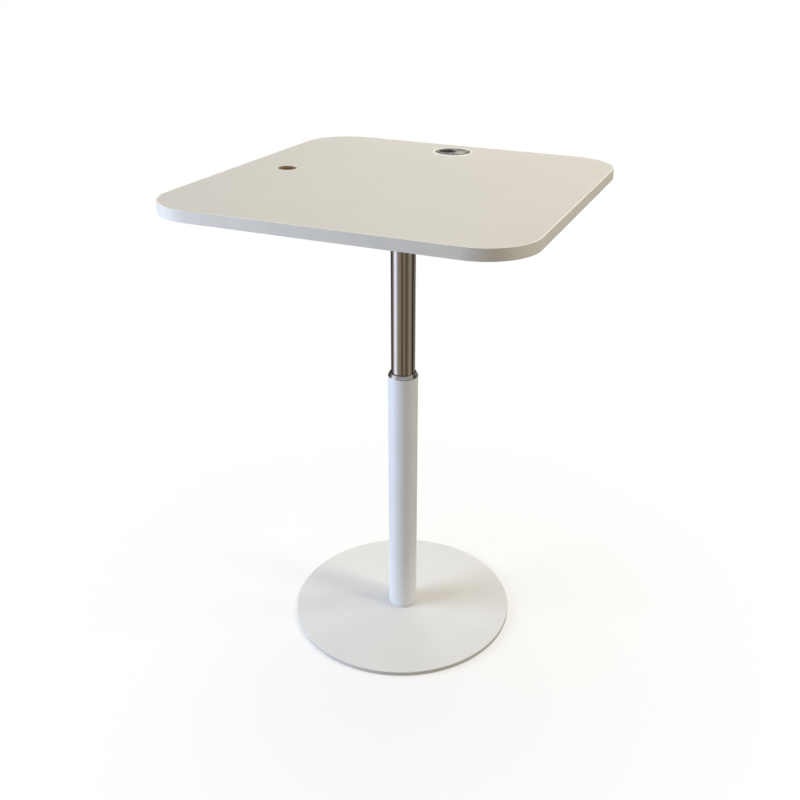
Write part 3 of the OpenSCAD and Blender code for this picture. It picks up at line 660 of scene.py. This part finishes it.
def room(g, direction):
    """The room in upright bands, the way an upright tube mirrors it, under a plain grey ceiling."""
    parts = g.node("ShaderNodeSeparateXYZ", {"Vector": direction})
    angle = g.math("ARCTAN2", parts.outputs["X"], g.math("MULTIPLY", parts.outputs["Y"], -1.0))
    tone = ROOM_TONE
    for bearing, half_width, share, colour in ROOM_BANDS:
        away = g.node("ShaderNodeMath", {
            0: g.math("SUBTRACT", angle, math.radians(bearing)),
            1: -math.pi,
            2: math.pi,
        }, operation="WRAP").outputs["Value"]
        near = g.node("ShaderNodeMapRange", {
            "Value": g.math("ABSOLUTE", away),
            "From Min": math.radians(half_width),
            "From Max": 0.0,
            "To Min": 0.0,
            "To Max": share,
        }, interpolation_type="SMOOTHSTEP").outputs["Result"]
        tone = g.mix(near, tone, colour)
    return g.mix(g.remap(parts.outputs["Z"], 0.25, 0.5, 0.0, 0.8), tone, CEILING_TONE)


def make_floor():
    """Pale floor that fades to plain white away from the table. Rays from below pass through it,
    and so do the very short ones from the underside of the base plate."""
    size, steps, spread, sides = 40.0, 24, 2.2, 64
    vertices, faces = [(0.0, 0.0, 0.0)], []
    radii = [size * (i / steps) ** spread for i in range(1, steps + 1)]
    for radius in radii:
        for j in range(sides):
            turn = 2 * math.pi * j / sides
            vertices.append((radius * math.cos(turn), radius * math.sin(turn), 0.0))
    for j in range(sides):
        faces.append((0, 1 + j, 1 + (j + 1) % sides))
    for i in range(steps - 1):
        a, b = 1 + i * sides, 1 + (i + 1) * sides
        for j in range(sides):
            k = (j + 1) % sides
            faces.append((a + j, b + j, b + k, a + k))
    mesh = bpy.data.meshes.new("floor")
    mesh.from_pydata(vertices, [], faces)

    g = Graph.of_material("floor")
    far = g.vector_math("LENGTH", g.place, (0.0, 0.0, 0.0), output="Value")
    path = g.node("ShaderNodeLightPath").outputs
    speck = g.noise(300, 3)
    pale = g.mix(g.remap(speck, 0.3, 0.7), (0.86, 0.86, 0.86), (0.90, 0.90, 0.90))
    tint = g.mix(path["Is Camera Ray"], FLOOR_BOUNCE, pale)
    lit = g.node("ShaderNodeBsdfDiffuse", {"Color": tint}).outputs["BSDF"]
    white = g.node("ShaderNodeEmission", {"Color": (1, 1, 1), "Strength": 1.0}).outputs["Emission"]
    seen = g.node("ShaderNodeEmission", {"Color": room(g, g.place), "Strength": 1.0})
    seen = seen.outputs["Emission"]
    clear = g.node("ShaderNodeBsdfTransparent").outputs["BSDF"]

    def blend(share, a, b):
        made = g.node("ShaderNodeMixShader", {0: share})
        g.feed(made.inputs[1], a)
        g.feed(made.inputs[2], b)
        return made.outputs["Shader"]

    near_plate, all_white, first_share = 0.26, 0.9, 0.55
    fade = g.remap(far, near_plate, all_white, first_share, 1.0)
    whiten = g.math("MULTIPLY", path["Is Camera Ray"], fade)
    surface = blend(whiten, lit, white)
    surface = blend(path["Is Glossy Ray"], surface, seen)
    under_plate = g.math("LESS_THAN", path["Ray Length"], 5 * MM)
    below = g.node("ShaderNodeNewGeometry").outputs["Backfacing"]
    surface = blend(g.math("MAXIMUM", below, under_plate), surface, clear)
    out = g.node("ShaderNodeOutputMaterial")
    g.tree.links.new(surface, out.inputs["Surface"])
    mesh.materials.append(g.owner)
    floor = bpy.data.objects.new("floor", mesh)
    bpy.context.scene.collection.objects.link(floor)


def make_world():
    """White to the camera, a soft pale fill for light, and the dim room for mirrors."""
    world = bpy.data.worlds.new("studio")
    bpy.context.scene.world = world
    g = Graph(world, "Generated")
    path = g.node("ShaderNodeLightPath").outputs
    below = g.remap(g.axis("Z"), 0.0, -0.2)
    fill = g.mix(below, WORLD_FILL, FILL_FROM_BELOW)
    tint = g.mix(path["Is Glossy Ray"], fill, room(g, g.place))
    tint = g.mix(path["Is Camera Ray"], tint, (1.0, 1.0, 1.0))
    background = g.node("ShaderNodeBackground", {"Color": tint, "Strength": 1.0})
    out = g.node("ShaderNodeOutputWorld")
    g.tree.links.new(background.outputs["Background"], out.inputs["Surface"])


def area_light(name, place, target, size, power, colour, mirrored=True):
    data = bpy.data.lights.new(name, "AREA")
    data.shape = "RECTANGLE"
    data.size, data.size_y = size
    data.energy = power
    data.color = colour
    lamp = bpy.data.objects.new(name, data)
    lamp.location = place
    lamp.rotation_euler = (Vector(target) - Vector(place)).to_track_quat("-Z", "Y").to_euler()
    lamp.visible_glossy = mirrored
    bpy.context.scene.collection.objects.link(lamp)


def make_camera():
    data = bpy.data.cameras.new("camera")
    data.sensor_width = 36
    data.lens = LENS_MM
    data.shift_x, data.shift_y = SHIFT
    data.clip_start, data.clip_end = 0.05, 100
    camera = bpy.data.objects.new("camera", data)
    bpy.context.scene.collection.objects.link(camera)
    around = math.radians(CAMERA_AZIMUTH)
    heading = math.radians(CAMERA_YAW - CAMERA_AZIMUTH)
    pitch, roll = math.radians(CAMERA_PITCH), math.radians(CAMERA_ROLL)
    ahead = Vector((math.sin(heading) * math.cos(pitch), math.cos(heading) * math.cos(pitch),
                    -math.sin(pitch)))
    right = Vector((math.cos(heading), -math.sin(heading), 0))
    up = right.cross(ahead)
    right, up = (right * math.cos(roll) + up * math.sin(roll),
                 up * math.cos(roll) - right * math.sin(roll))
    turn = Matrix((right, up, -ahead)).transposed().to_4x4()
    place = Vector((CAMERA_RANGE * math.sin(around), -CAMERA_RANGE * math.cos(around), CAMERA_HEIGHT))
    camera.matrix_world = Matrix.Translation(place) @ turn
    bpy.context.scene.camera = camera


make_floor()
make_world()
area_light("window", place=(-2.12, -1.45, 1.3), target=(0, 0, 0.5), size=(1.5, 1.5), power=78,
           colour=(0.67, 0.79, 0.97), mirrored=False)
area_light("side lamp", place=(3.36, -0.08, 3.98), target=(0, 0, 0.3), size=(0.95, 0.95), power=66,
           colour=(1.0, 0.95, 0.78))
area_light("end lamp", place=(3.04, 1.39, 3.5), target=(0, 0, 0.3), size=(0.95, 0.95), power=36,
           colour=(1.0, 0.93, 0.76))
area_light("back lamp", place=(0.0, 1.4, 3.0), target=(0, 0, 0.3), size=(2.6, 1.2), power=34,
           colour=(1.0, 0.98, 0.90))
make_camera()

scene = bpy.context.scene
scene.view_settings.view_transform = "Standard"
scene.view_settings.look = "None"
scene.cycles.use_denoising = True
